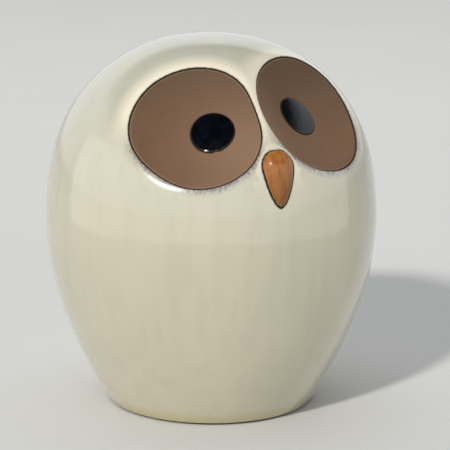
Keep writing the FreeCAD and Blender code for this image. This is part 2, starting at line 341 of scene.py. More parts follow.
EYES = [
    Eye(
        "right", sign=-1, turn=-28.8, rise=35.8, reach=49.6, height=121.0, radius=25.3,
        pupil=(6.2, 1.0),
        waves={2: (0, -0.9), 3: (-0.5, -0.4), 4: (0.1, -0.2), 5: (0, -0.2)},
    ),
    Eye(
        "left", sign=1, turn=28.8, rise=39.3, reach=47.2, height=123.9, radius=25.7,
        pupil=(2.9, 0.1),
        waves={1: (1.1, -0.3), 2: (-0.3, 1.1), 3: (-0.3, 0.3), 4: (-0.3, 0.1)},
    ),
]


def unevenness(points):
    """Slow waves of the hand-made wall and its glaze, in mm, at points of the form."""
    x, y, z = points.T
    broad = np.sin(x / 17 + z / 31 + 0.7) * np.sin(y / 21 - z / 43 + 1.9)
    rings = np.sin(z / 4.6 + 1.2 * np.sin(x / 37 + 0.4)) * np.sin(z / 23 + 0.8)
    ripple = np.sin(x / 8.5 + y / 13 + 2.1) * np.sin(z / 9.5 - y / 15)
    return 0.10 * broad + 0.02 * rings + 0.02 * ripple


def skin(turn, s):
    """The glazed surface: the turned form, a little uneven, with both eyes pressed in."""
    start = form.at(turn, s)
    points = start + form.normal(turn, s) * unevenness(start)[:, None]
    for eye in EYES:
        points = eye.press(points, start)
    return points


def skin_normal(turn, s, step=0.05):
    """Unit normals of the skin, from small steps along it."""
    s = np.clip(s, step, form.length - 4 * step)
    swing = step / np.interp(s, form.s, form.r)
    across = skin(turn + swing, s) - skin(turn - swing, s)
    upward = skin(turn, s + step) - skin(turn, s - step)
    normal = np.cross(across, upward)
    return normal / np.linalg.norm(normal, axis=1, keepdims=True)


# ---------------- mesh helpers


def put(name, data):
    """A new object of the scene."""
    thing = bpy.data.objects.new(name, data)
    bpy.context.scene.collection.objects.link(thing)
    return thing


class Clay:
    """Collects one piece's points, in mm, and its faces."""

    def __init__(self):
        self.points, self.faces, self.count = [], [], 0

    def add(self, points):
        """Adds points and returns their indices."""
        points = np.atleast_2d(points)
        first, self.count = self.count, self.count + len(points)
        self.points.append(points)
        return np.arange(first, self.count)

    def strip(self, first, second):
        """Quads between two closed rings with the same count."""
        rings = (first, np.roll(first, -1), np.roll(second, -1), second)
        self.faces += [tuple(map(int, quad)) for quad in zip(*rings)]

    def fan(self, ring, middle):
        """Triangles from a closed ring to one point of it or in it."""
        self.faces += [(int(a), int(b), int(middle)) for a, b in zip(ring, np.roll(ring, -1))]

    def strips(self, rings):
        """Quads between each ring and the next."""
        for first, second in zip(rings, rings[1:]):
            self.strip(first, second)

    def cap(self, point, ring):
        """Closes a ring with a new point."""
        self.fan(ring, self.add(point)[0])

    def piece(self, name, body, material, slot, replaced, values=None, normals=None):
        """The finished object. values are numbers per point, by name, for the material."""
        mesh = bpy.data.meshes.new(name)
        points = np.concatenate(self.points)
        mesh.from_pydata((points * MM).tolist(), [], self.faces)
        mesh.polygons.foreach_set("use_smooth", [True] * len(mesh.polygons))
        shape = bmesh.new()
        shape.from_mesh(mesh)
        bmesh.ops.recalc_face_normals(shape, faces=shape.faces)
        shape.to_mesh(mesh)
        shape.free()
        for key, numbers in (values or {}).items():
            attribute = mesh.attributes.new(key, "FLOAT", "POINT")
            attribute.data.foreach_set("value", np.float32(numbers))
        if normals is not None:
            full = np.zeros_like(points)
            full[: len(normals)] = normals
            mesh.normals_split_custom_set_from_vertices(full.tolist())
        mesh.materials.append(material)
        thing = put(name, mesh)
        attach(thing, body)
        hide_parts(*replaced.split())
        return thing


def circle(radius, height, columns=COLUMNS):
    """Points of a level circle about the upright axis."""
    return around(np.arange(columns) * TAU / columns, radius, height)


def rounded(corners, steps=5):
    """An open outline with its corners rounded. Each corner is r, z and its radius."""
    points = [corners[0][:2]]
    for before, (r, z, radius), after in zip(corners, corners[1:], corners[2:]):
        corner = np.array([r, z])
        back, ahead = (np.array(p[:2]) - corner for p in (before, after))
        back, ahead = back / np.linalg.norm(back), ahead / np.linalg.norm(ahead)
        half = math.acos(np.clip(back @ ahead, -1, 1)) / 2
        middle = corner + (back + ahead) / np.linalg.norm(back + ahead) * radius / math.sin(half)
        start, end = (corner + way * radius / math.tan(half) - middle for way in (back, ahead))
        turn = math.acos(np.clip(start @ end / radius**2, -1, 1))
        for step in np.linspace(0, 1, steps + 1):
            mixed = math.sin((1 - step) * turn) * start + math.sin(step * turn) * end
            points.append(tuple(middle + mixed / math.sin(turn)))
    return points + [corners[-1][:2]]


def lathe(clay, outline):
    """Turns an outline about the upright axis, where both of its ends are."""
    rings = [clay.add(circle(r, z)) for r, z in outline[1:-1]]
    clay.strips(rings)
    clay.cap([0, 0, outline[0][1]], rings[0])
    clay.cap([0, 0, outline[-1][1]], rings[-1])


# ---------------- beak


class Beak:
    """A teardrop about its own axis, tilted in from the tip, more than half sunk in the body."""

    TIP_STEPS, FLANK_STEPS, TOP_STEPS = 8, 20, 16
    HALVINGS = 40
    LEAST_REACH = 1e-3

    def __init__(self):
        tilt, level = math.sin(BEAK_TILT), math.cos(BEAK_TILT)
        face = facing(BEAK_TURN)
        self.tip = face * BEAK_REACH + UP * BEAK_HEIGHT
        self.axis = UP * level - face * tilt
        self.out = face * level + UP * tilt
        self.side = beside(BEAK_TURN)
        self.length, self.radius = self.outline()

    def outline(self):
        """The half-profile: a round tip, a flank and a round top."""
        tip = np.array([0.0, BEAK_TIP_RADIUS])
        top = np.array([0.0, BEAK_LENGTH - BEAK_RADIUS])
        from_tip, from_top = BEAK_FLANK - BEAK_TIP_RADIUS, BEAK_FLANK - BEAK_RADIUS
        apart = top[1] - tip[1]
        up = (from_tip**2 - from_top**2 + apart**2) / (2 * apart)
        flank = tip + np.array([-math.sqrt(from_tip**2 - up**2), up])
        lower = flank + (tip - flank) * BEAK_FLANK / from_tip
        upper = flank + (top - flank) * BEAK_FLANK / from_top
        arcs = (
            (tip, np.zeros(2), lower, self.TIP_STEPS),
            (flank, lower, upper, self.FLANK_STEPS),
            (top, upper, top + [0, BEAK_RADIUS], self.TOP_STEPS),
        )
        points = []
        for centre, start, end, count in arcs:
            points.append(arc(centre, start, end, count + 1)[1][1:])
        radius, length = np.concatenate([np.zeros((1, 2))] + points).T
        return length, np.maximum(radius, 0)

    def surface(self, length, radius, angle):
        """Points of the teardrop, angle being measured from its outer side."""
        across = np.multiply.outer(radius * np.sin(angle), self.side)
        outward = np.multiply.outer(radius * np.cos(angle), self.out)
        return self.tip + np.multiply.outer(length, self.axis) + across + outward

    def reach(self, depth):
        """How far round the teardrop stays above the skin less a depth, per profile point."""
        low, high = np.zeros_like(self.length), np.full_like(self.length, math.pi)
        for _ in range(self.HALVINGS):
            middle = (low + high) / 2
            clear = above_skin(self.surface(self.length, self.radius, middle)) > -depth
            low, high = np.where(clear, middle, low), np.where(clear, high, middle)
        return low

    def edge(self):
        """The line where the teardrop meets the skin, as a closed loop from the tip."""
        reach = self.reach(0.0)
        seen = reach > self.LEAST_REACH
        length, radius, reach = self.length[seen], self.radius[seen], reach[seen]
        right, left = (self.surface(length, radius, side * reach) for side in (1, -1))
        return np.concatenate([right, left[::-1]])


def above_skin(points):
    """Height of points above the glazed surface."""
    turn, s = form.locate(points)
    return ((points - skin(turn, s)) * form.normal(turn, s)).sum(-1)


beak = Beak()


def make_beak(material):
    """The exposed part of the teardrop, closed behind by chords under the glaze."""
    clay = Clay()
    reach = beak.reach(BEAK_BURIED)
    seen = np.flatnonzero(reach > beak.LEAST_REACH)
    share = np.sin(np.linspace(-1, 1, BEAK_FRONT) * math.pi / 2)
    back_share = np.linspace(0, 1, BEAK_BACK)[1:-1, None]
    rings, points = [], []
    for index in seen:
        length, radius = np.full((2, BEAK_FRONT), [[beak.length[index]], [beak.radius[index]]])
        front = beak.surface(length, radius, share * reach[index])
        back = front[-1] + (front[0] - front[-1]) * back_share
        ring = np.concatenate([front, back])
        rings.append(clay.add(ring))
        points.append(ring)
    clay.strips(rings)
    for ring, index in ((rings[0], seen[0] - 1), (rings[-1], seen[-1] + 1)):
        index = np.clip(index, 0, len(beak.length) - 1)
        end = beak.surface(beak.length[index], beak.radius[index], 0.0)
        clay.cap(end, ring)
        points.append(np.atleast_2d(end))
    points = np.concatenate(points)
    line = even_loop(beak.edge(), 2 * RING)
    rim = np.linalg.norm(points[:, None] - line, axis=2).min(1)
    rim = np.where(above_skin(points) < 0, -rim, rim)
    return clay.piece("beak_drop", "bank", material, "beak_glaze", "beak", {"rim": rim})


# ---------------- glazed body

INSIDE = -20.0
GLAZE_END = 9.0
STRAIGHT_SHARE = 0.36
BEAK_NEAR = 30.0


def eye_ring(eye, offset, count=RING):
    """turn and s of points on the form, round an eye at an offset from its outline."""
    x, y = eye.outline(np.arange(count) * TAU / count, offset)
    return form.locate(eye.world(x, y, eye.form_height(x, y)))


def slot_outline(offset, count=64):
    """x and z round the coin slot, at an offset from its edge."""
    radius, reach = SLOT_HALF_WIDTH + offset, SLOT_HALF_LENGTH - SLOT_HALF_WIDTH
    straight = int(count * STRAIGHT_SHARE)
    half = count // 2 - straight
    turn = np.linspace(-math.pi / 2, math.pi / 2, half, endpoint=False)
    run = np.linspace(reach, -reach, straight, endpoint=False)
    x = np.concatenate([reach + radius * np.cos(turn), run])
    z = np.concatenate([radius * np.sin(turn), np.full(straight, radius)])
    return np.concatenate([x, -x]), np.concatenate([z, -z]) + SLOT_HEIGHT


def on_back(x, z):
    """turn and s of points of the form's back that are at x and z."""
    s = np.interp(z, form.z, form.s)
    return math.pi - np.arcsin(x / np.interp(s, form.s, form.r)), s


def edge_distance(points):
    """Distance outside the nearest outline, and how far that outline faces down there."""
    nearest, downward = np.full(len(points), FAR), np.zeros(len(points))
    for eye in EYES:
        away = eye.distance(points)
        x, y, _ = eye.local(points)
        reach = np.maximum(np.hypot(x, y), TINY)
        down = -(x * eye.across[2] + y * eye.up[2]) / reach
        downward = np.where(away < nearest, down, downward)
        nearest = np.minimum(nearest, away)
    return nearest, downward


def beak_distance(points, loop):
    """Distance from the line where the beak meets the skin, negative under the beak."""
    near = np.flatnonzero(np.linalg.norm(points - loop.mean(0), axis=1) < BEAK_NEAR)
    away = np.full(len(points), FAR)
    gaps = points[near, None] - loop
    closest = np.linalg.norm(gaps, axis=2).argmin(1)
    centre = beak.tip + beak.axis * (BEAK_LENGTH - BEAK_RADIUS)
    for index, spot in zip(near, closest):
        first, last = loop[spot - 1], loop[(spot + 1) % len(loop)]
        along = (last - first) / np.linalg.norm(last - first)
        gap = points[index] - loop[spot]
        gap = gap - along * (gap @ along)
        inward = (loop[spot] - centre) @ gap < 0
        away[index] = np.linalg.norm(gap) * (-1 if inward else 1)
    return away


CHART_SCALE = 1000
CHART_MERGE = 1e-5


def triangulate(clay, turn, s, loop, indices):
    """Joins points of the form into triangles. Points of one loop aren't joined across it."""
    chart = form.chart(turn, s) * CHART_SCALE
    chart[s > form.length - TINY] = 0
    edges = []
    for label in np.unique(loop[loop >= 0]):
        ring = np.flatnonzero(loop == label)
        edges += list(zip(ring.tolist(), np.roll(ring, -1).tolist()))
    joined = delaunay_2d_cdt([Vector(p) for p in chart], edges, [], 0, CHART_MERGE, True)
    faces, origin = joined[2:4]
    start = np.array([sources[0] for sources in origin])
    for face in faces:
        corners = start[list(face)]
        labels = loop[corners]
        if labels[0] < 0 or not (labels == labels[0]).all():
            clay.faces.append(tuple(int(i) for i in indices[corners]))


def fill(spacing, keep):
    """turn and s of staggered points over the form, where keep allows them."""
    count = int(form.length / spacing)
    rings = []
    for row in range(1, count):
        s = form.length * row / count
        around = max(6, round(TAU * np.interp(s, form.s, form.r) / spacing))
        turn = (np.arange(around) + (row % 2) / 2) * TAU / around - math.pi
        rings.append((turn, np.full(around, s)))
    rings.append(([0.0], [form.length]))
    turn, s = (np.concatenate(part) for part in zip(*rings))
    kept = keep(form.at(turn, s))
    return turn[kept], s[kept]


def slot_distance(points):
    """Distance outside the coin slot's edge."""
    x = np.maximum(np.abs(points[:, 0]) - SLOT_HALF_LENGTH + SLOT_HALF_WIDTH, 0)
    away = np.hypot(x, points[:, 2] - SLOT_HEIGHT) - SLOT_HALF_WIDTH
    return np.where(points[:, 1] > 0, away, FAR)


def fringe_rings():
    """Rings of extra points that follow each outline, where that outline is the nearest."""
    loop = even_loop(beak.edge(), 110)
    rings = []
    for eye in EYES:
        other = EYES[1 - EYES.index(eye)]
        for offset, count in EYE_FRINGE:
            turn, s = eye_ring(eye, offset, count)
            start = form.at(turn, s)
            kept = other.distance(start) > offset + 0.15
            kept &= np.abs(beak_distance(start, loop)) > 0.5
            rings.append((turn[kept], s[kept]))
    centre = loop.mean(0)
    away = loop - centre
    for offset in BEAK_FRINGE:
        spread = 1 + offset / np.linalg.norm(away, axis=1, keepdims=True)
        turn, s = form.locate(centre + away * spread)
        start = form.at(turn, s)
        kept = np.min([eye.distance(start) for eye in EYES], axis=0) > LIP + 0.3
        rings.append((turn[kept], s[kept]))
    return [np.concatenate(part) for part in zip(*rings)]


def even_loop(points, count):
    """The same closed line with evenly spaced points."""
    closed = np.vstack([points, points[:1]])
    length = np.concatenate([[0.0], np.cumsum(np.linalg.norm(np.diff(closed, axis=0), axis=1))])
    places = np.linspace(0, length[-1], count, endpoint=False)
    return np.stack([np.interp(places, length, closed[:, axis]) for axis in range(3)], -1)


class GlazedClay(Clay):
    """Clay whose points carry how far they are from the glaze's edge, and which way that faces."""

    def __init__(self):
        super().__init__()
        self.edges, self.falls = [], []

    def add(self, points, edge=INSIDE, fall=0.0):
        """Adds points with their two numbers and returns their indices."""
        rows = super().add(points)
        self.edges.append(np.zeros(len(rows)) + edge)
        self.falls.append(np.zeros(len(rows)) + fall)
        return rows

    def values(self):
        """The numbers per point that the glaze's material reads."""
        return {"edge": np.concatenate(self.edges), "fall": np.concatenate(self.falls)}


def gather(sets):
    """turn, s and label of every point of several sets. Each is turns, lengths and its label."""
    turn, s = (np.concatenate([item[part] for item in sets]) for part in (0, 1))
    label = np.concatenate([np.full(len(item[0]), item[2]) for item in sets])
    return turn, s, label


def quarter_turn(steps):
    """Angles of a quarter turn after its start."""
    return np.linspace(0, 1, steps + 1)[1:] * math.pi / 2


def press_recess(clay, eye, ring, fall):
    """Rolls the glaze over an eye's edge and sinks the recess behind it."""
    rings = [ring]
    for step in quarter_turn(4):
        offset, drop = LIP * (1 - math.sin(step)), GLAZE * (1 - math.cos(step))
        sunk = skin(*eye_ring(eye, offset)) - drop * eye.out
        rings.append(clay.add(sunk, offset - drop * 0.2, fall))
    for offset, drop in ((0, 1.5), (0, RECESS_DEPTH), (-8, RECESS_DEPTH), (-17, RECESS_DEPTH)):
        rings.append(clay.add(skin(*eye_ring(eye, offset)) - drop * eye.out, -drop))
    clay.strips(rings)
    zero = np.zeros(1)
    middle = form.locate(eye.world(zero, zero, eye.form_height(zero, zero)))
    floor = clay.add(skin(*middle) - RECESS_DEPTH * eye.out, -RECESS_DEPTH)
    clay.fan(rings[-1], floor[0])


def roll_slot(clay, ring):
    """Rolls the glaze into the coin slot, thinning as it goes. Returns its last ring."""
    rings = [ring]
    for step in quarter_turn(6):
        offset, drop = SLOT_LIP * (1 - math.sin(step)), SLOT_LIP * (1 - math.cos(step))
        sunk = skin(*on_back(*slot_outline(offset)))
        rings.append(clay.add(sunk - [0, drop, 0], GLAZE_END - 8.8 * math.sin(step)))
    clay.strips(rings)
    return rings[-1]


def roll_foot(clay, ring, turn):
    """Rolls the glaze's lower edge under, to where the floor meets it. Returns its last ring."""
    rings = [ring]
    for r, z in ((41.75, 1.05), (41.6, 0.95), (41.4, 0.97), (41.25, 1.22), (36.9, 1.24)):
        edge = GLAZE_END if r > FOOT_EDGE_RADIUS + 0.1 else INSIDE
        rings.append(clay.add(around(turn, r, z), edge))
    clay.strips(rings)
    return rings[-1]


def line_inside(clay, foot_turn, foot_edge, slot_edge):
    """The bare inside of the wall, joined to the skin at the foot and at the slot."""
    inner_r = form.r - WALL * np.cos(form.lean)
    inner_z = form.z + WALL * np.sin(form.lean)
    x, z = slot_outline(0)
    slot_s = np.interp(z, inner_z, form.s)
    slot_turn = math.pi - np.arcsin(x / np.interp(slot_s, form.s, inner_r))
    turn, s, label = gather([
        (foot_turn, np.zeros(FOOT_COLUMNS), -1),
        (slot_turn, slot_s, 0),
        (*fill(INNER_SPACING, lambda points: slot_distance(points) > 3.5), -1),
    ])
    rows = clay.add(skin(turn, s) - WALL * skin_normal(turn, s))
    triangulate(clay, turn, s, label, rows)
    clay.strip(slot_edge, rows[label == 0])
    clay.strip(foot_edge, rows[:FOOT_COLUMNS])


def make_body(material):
    """The hollow glazed body: skin, recesses, slot, glaze edge at the foot and the inside."""
    clay = GlazedClay()
    beak_line = even_loop(beak.edge(), RING)
    foot_turn = np.arange(FOOT_COLUMNS) * TAU / FOOT_COLUMNS - math.pi
    slot_label = len(EYES)

    def open_ground(points):
        """Where nothing else places points: off the eyes' fringes, the slot and the beak's edge."""
        clear = np.min([eye.distance(points) for eye in EYES], axis=0) > 4.3
        away = beak_distance(points, beak_line)
        off_slot = slot_distance(points) > SLOT_LIP + 1.2
        return clear & off_slot & ((away > 2.6) | (away < -1.5))

    turn, s, label = gather([
        (foot_turn, np.zeros(FOOT_COLUMNS), -1),
        *((*eye_ring(eye, LIP), number) for number, eye in enumerate(EYES)),
        (*on_back(*slot_outline(SLOT_LIP)), slot_label),
        (*fringe_rings(), -1),
        (*fill(SPACING, open_ground), -1),
    ])
    start, normals = form.at(turn, s), skin_normal(turn, s)
    edge, fall = edge_distance(start)
    beak_edge = beak_distance(start, beak_line)
    fall = np.where(beak_edge < edge, 0.0, fall)
    rows = clay.add(skin(turn, s), np.minimum(edge, beak_edge), fall)
    triangulate(clay, turn, s, label, rows)

    for number, eye in enumerate(EYES):
        press_recess(clay, eye, rows[label == number], fall[label == number])
    slot_edge = roll_slot(clay, rows[label == slot_label])
    foot_edge = roll_foot(clay, rows[:FOOT_COLUMNS], foot_turn)
    line_inside(clay, foot_turn, foot_edge, slot_edge)
    return clay.piece(
        "glazed_body", "bank", material, "body_glaze", "body_shell head_shell",
        clay.values(), normals,
    )


# ---------------- eyes

IN_SOCKET = 90.0
WELL_IN = 15.0
ROUND = np.arange(RING) * TAU / RING
NICK_DEPTH, NICK_ANGLE, NICK_WIDTH = 0.45, 4.95, 0.10


def on_eye(eye, x, y, drop):
    """Points of the skin over the eye's plane at x and y, sunk by a drop."""
    start = eye.world(x, y, eye.form_height(x, y))
    return skin(*form.locate(start)) - drop * eye.out


def pupil_outline(eye, inset):
    """x and y round the pupil, which is slightly out of round. The right one has a nick."""
    reach = PUPIL_RADIUS - inset
    reach = reach + 0.10 * np.cos(2 * ROUND + eye.sign) + 0.07 * np.cos(3 * ROUND - 0.6)
    if eye.side == "right":
        reach = reach - NICK_DEPTH * np.exp(-(((ROUND - NICK_ANGLE) / NICK_WIDTH) ** 2))
    return eye.pupil[0] + reach * np.cos(ROUND), eye.pupil[1] + reach * np.sin(ROUND)


def make_disc(eye, material):
    """The dished clay disc, with a rounded edge and a blind socket for the pupil."""
    clay, edges = Clay(), []

    def add(x, y, drop, edge):
        edges.append(np.zeros(len(x)) + edge)
        return clay.add(on_eye(eye, x, y, drop))

    rings = []
    for inset, drop in ((0, DISC_BOTTOM), (0, DISC_DROP + DISC_ROUND), (0.1, DISC_DROP + 0.1)):
        rings.append(add(*eye.outline(ROUND, -DISC_GAP - inset), drop, inset))
    outer = eye.outline(ROUND, -DISC_GAP - DISC_ROUND)
    inner = pupil_outline(eye, -SOCKET_GAP - SOCKET_ROUND)
    for share in (0, 0.015, 0.035, 0.07, *np.linspace(0.12, 1, 22)):
        x, y = (a + (b - a) * share for a, b in zip(outer, inner))
        edge = np.hypot(x - outer[0], y - outer[1]) + DISC_ROUND
        rings.append(add(x, y, DISC_DROP, np.minimum(edge, WELL_IN)))
    rings.append(add(*pupil_outline(eye, -SOCKET_GAP - 0.05), DISC_DROP + 0.12, IN_SOCKET))
    for drop in (DISC_DROP + 0.4, SOCKET_DEPTH):
        rings.append(add(*pupil_outline(eye, -SOCKET_GAP), drop, IN_SOCKET))
    clay.strips(rings)
    for ring, drop in ((rings[-1], SOCKET_DEPTH), (rings[0], DISC_BOTTOM)):
        middle = add(eye.pupil[:1], eye.pupil[1:], drop, IN_SOCKET)
        clay.fan(ring, middle[0])
    return clay.piece(
        f"{eye.side}_eye_clay", "bank", material, "eye_clay", f"{eye.side}_eye_disc",
        {"edge": np.concatenate(edges)},
    )


def make_pupil(eye, material):
    """The glazed button: a low dome with a rounded edge, tilted with the dish under it."""
    clay, rims = Clay(), []
    middle = eye.pupil
    bend = 2 * DISH_DEPTH / eye.radius**2
    base = DISH_DEPTH * ((middle @ middle + PUPIL_RADIUS**2) / eye.radius**2 - 1) - DISC_DROP

    def ring(inset, height):
        x, y = pupil_outline(eye, inset)
        tilt = bend * ((x - middle[0]) * middle[0] + (y - middle[1]) * middle[1])
        rims.append(np.full(RING, inset))
        return clay.add(eye.world(x, y, base + tilt + height))

    profile = [(0.0, -PUPIL_BEDDED), (0.0, PUPIL_PROUD - PUPIL_ROUND)]
    for step in quarter_turn(5):
        inset = PUPIL_ROUND * (1 - math.cos(step)) * PUPIL_SPREAD
        profile.append((inset, PUPIL_PROUD - PUPIL_ROUND * (1 - math.sin(step))))
    shoulder = profile[-1][0]
    for share in np.linspace(0, 1, 14)[1:-1]:
        inset = shoulder + (PUPIL_RADIUS - shoulder) * share
        profile.append((inset, PUPIL_PROUD + PUPIL_DOME * (1 - (1 - share) ** 2)))
    rings = [ring(*place) for place in profile]
    clay.strips(rings)
    for loop, height in ((rings[0], -PUPIL_BEDDED), (rings[-1], PUPIL_PROUD + PUPIL_DOME)):
        rims.append([PUPIL_RADIUS])
        clay.cap(eye.world(middle[0], middle[1], base + height), loop)
    return clay.piece(
        f"{eye.side}_pupil_button", "bank", material, "pupil_glaze", f"{eye.side}_pupil",
        {"rim": np.concatenate(rims)},
    )


# ---------------- foot and stopper


def make_foot(material):
    """The clay floor with its bare ring, trimmed and slightly worn."""
    clay = Clay()
    corners = [
        (HOLE_RADIUS, 5.0, 0),
        (HOLE_RADIUS, UNDERSIDE, 0.5),
        (UNDERSIDE_RADIUS, UNDERSIDE, 0.9),
        (RING_RADIUS, 0.0, 0.7),
        (FOOT_RADIUS, 0.0, 0.5),
        (FOOT_EDGE_RADIUS, FOOT_LINE - 0.01, 0.15),
        (SLAB_SEAT_RADIUS, FOOT_LINE + 0.01, 0.2),
        (SLAB_TOP_RADIUS, SLAB_TOP, 0.3),
        (HOLE_RADIUS, SLAB_TOP, 0.4),
        (HOLE_RADIUS, 5.01, 0),
    ]
    rings = [clay.add(circle(r, z, FOOT_COLUMNS)) for r, z in rounded(corners)[:-1]]
    clay.strips(rings + rings[:1])
    return clay.piece("foot_slab", "bank", material, "bare_clay", "base_slab")


def make_stopper(material):
    """The moulded rubber cup with its flange and pull tab."""
    clay = Clay()
    corners = [
        (0, CUP_ROOF, 0),
        (CUP_RADIUS, CUP_ROOF, 1.0),
        (CUP_RADIUS, FLANGE_BOTTOM, 0.5),
        (FLANGE_RADIUS, FLANGE_BOTTOM, 0.5),
        (FLANGE_RADIUS, FLANGE_TOP, 0.5),
        (PLUG_RADIUS, FLANGE_TOP, 0.3),
        (PLUG_RADIUS, PLUG_SHOULDER, 0.3),
        (PLUG_NOSE_RADIUS, PLUG_TOP, 0.4),
        (0, PLUG_TOP, 0),
    ]
    lathe(clay, rounded(corners))
    tab = ((TAB_BOTTOM, 0.9), (1.3, 0.45), (1.6, 0.12), (2.0, 0.0), (4.0, 0.0), (TAB_ROOT, 0.0))
    rings = [clay.add(tab_ring(z, inset)) for z, inset in tab]
    clay.strips(rings)
    clay.cap([0, 0, TAB_BOTTOM], rings[0])
    clay.cap([0, 0, TAB_ROOT], rings[-1])
    return clay.piece("rubber_stopper", "stopper", material, "stopper_rubber", "stopper")


def tab_ring(z, inset):
    """A rounded oblong at a height: the section of the pull tab."""
    radius = TAB_ROUND - inset / 2
    corner = np.linspace(0, math.pi / 2, 6)
    points = []
    for quarter, (sx, sy) in enumerate(((1, 1), (-1, 1), (-1, -1), (1, -1))):
        swing = corner + quarter * math.pi / 2
        x = sx * (TAB_HALF_LENGTH - inset - radius) + radius * np.cos(swing)
        y = sy * (TAB_HALF_WIDTH - inset - radius) + radius * np.sin(swing)
        points.append(np.stack([x, y, np.full(len(swing), z)], -1))
    return np.concatenate(points)


# ---------------- materials


def tone(red, green, blue):
    """A colour as a screen shows it, 0 to 255, as the linear values that the shader takes."""
    shares = (value / 255 for value in (red, green, blue))
    return (*(v / 12.92 if v <= 0.04045 else ((v + 0.055) / 1.055) ** 2.4 for v in shares), 1.0)


class Shader:
    """A node material, built by short calls that each return an output socket."""

    def __init__(self, name, **sockets):
        self.material = bpy.data.materials.new(name)
        self.material.use_nodes = True
        self.tree = self.material.node_tree
        self.surface = self.tree.nodes["Principled BSDF"]
        self.place = self.node("ShaderNodeTexCoord").outputs["Object"]
        for key, value in sockets.items():
            self.surface.inputs[key.replace("_", " ")].default_value = value

    def node(self, kind, **settings):
        """A new node with its settings made."""
        node = self.tree.nodes.new(kind)
        for key, value in settings.items():
            setattr(node, key, value)
        return node

    def feed(self, socket, value):
        """Links a socket to another, or sets it to a number or colour."""
        if isinstance(value, bpy.types.NodeSocket):
            self.tree.links.new(value, socket)
        else:
            socket.default_value = value

    def value(self, name):
        """One of the mesh's numbers per point."""
        return self.node("ShaderNodeAttribute", attribute_name=name).outputs["Fac"]

    def math(self, operation, *values):
        """The result of a sum or product."""
        node = self.node("ShaderNodeMath", operation=operation)
        for socket, value in zip(node.inputs, values):
            self.feed(socket, value)
        return node.outputs[0]

    def times(self, first, second):
        return self.math("MULTIPLY", first, second)

    def shaken(self, value, noise, amount):
        """A value moved by noise, by up to half an amount either way."""
        return self.math("ADD", value, self.times(self.math("SUBTRACT", noise, 0.5), amount))

    def axis(self, name):
        """X, Y or Z of the point, in metres."""
        split = self.node("ShaderNodeSeparateXYZ")
        self.feed(split.inputs[0], self.place)
        return split.outputs[name]

    def noise(self, scale, detail=2.0, roughness=0.5, stretch=(1, 1, 1), shift=(0, 0, 0)):
        """Noise from 0 to 1. scale is per metre, and stretch makes it long along an axis."""
        place = self.node("ShaderNodeMapping")
        self.feed(place.inputs["Vector"], self.place)
        place.inputs["Scale"].default_value = tuple(scale / way for way in stretch)
        place.inputs["Location"].default_value = shift
        noise = self.node("ShaderNodeTexNoise")
        self.feed(noise.inputs["Vector"], place.outputs[0])
        for key, value in (("Scale", 1.0), ("Detail", detail), ("Roughness", roughness)):
            noise.inputs[key].default_value = value
        return noise.outputs["Fac"]

    def ramp(self, value, low, high, start=0.0, end=1.0):
        """A smooth step of a value from start at low to end at high."""
        node = self.node("ShaderNodeMapRange", interpolation_type="SMOOTHSTEP")
        for socket, given in zip(node.inputs, (value, low, high, start, end)):
            self.feed(socket, given)
        return node.outputs[0]

    def mix(self, share, first, second):
        """The first colour, with a share of the second over it."""
        node = self.node("ShaderNodeMix", data_type="RGBA")
        for index, value in ((0, share), (6, first), (7, second)):
            self.feed(node.inputs[index], value)
        return node.outputs[2]

    def tint(self, share, red, green, blue):
        """Lays a share of a tone over the colour so far."""
        self.colour = self.mix(share, self.colour, tone(red, green, blue))

    def bump(self, height, distance):
        """Relief of that depth in metres."""
        node = self.node("ShaderNodeBump")
        node.inputs["Strength"].default_value = 1.0
        node.inputs["Distance"].default_value = distance
        self.feed(node.inputs["Height"], height)
        return node.outputs[0]

    def finish(self, roughness=None, normal=None):
        """Feeds the surface and returns the material."""
        self.feed(self.surface.inputs["Base Color"], self.colour)
        if roughness is not None:
            self.feed(self.surface.inputs["Roughness"], roughness)
        if normal is not None:
            self.feed(self.surface.inputs["Normal"], normal)
            self.feed(self.surface.inputs["Coat Normal"], normal)
        return self.material


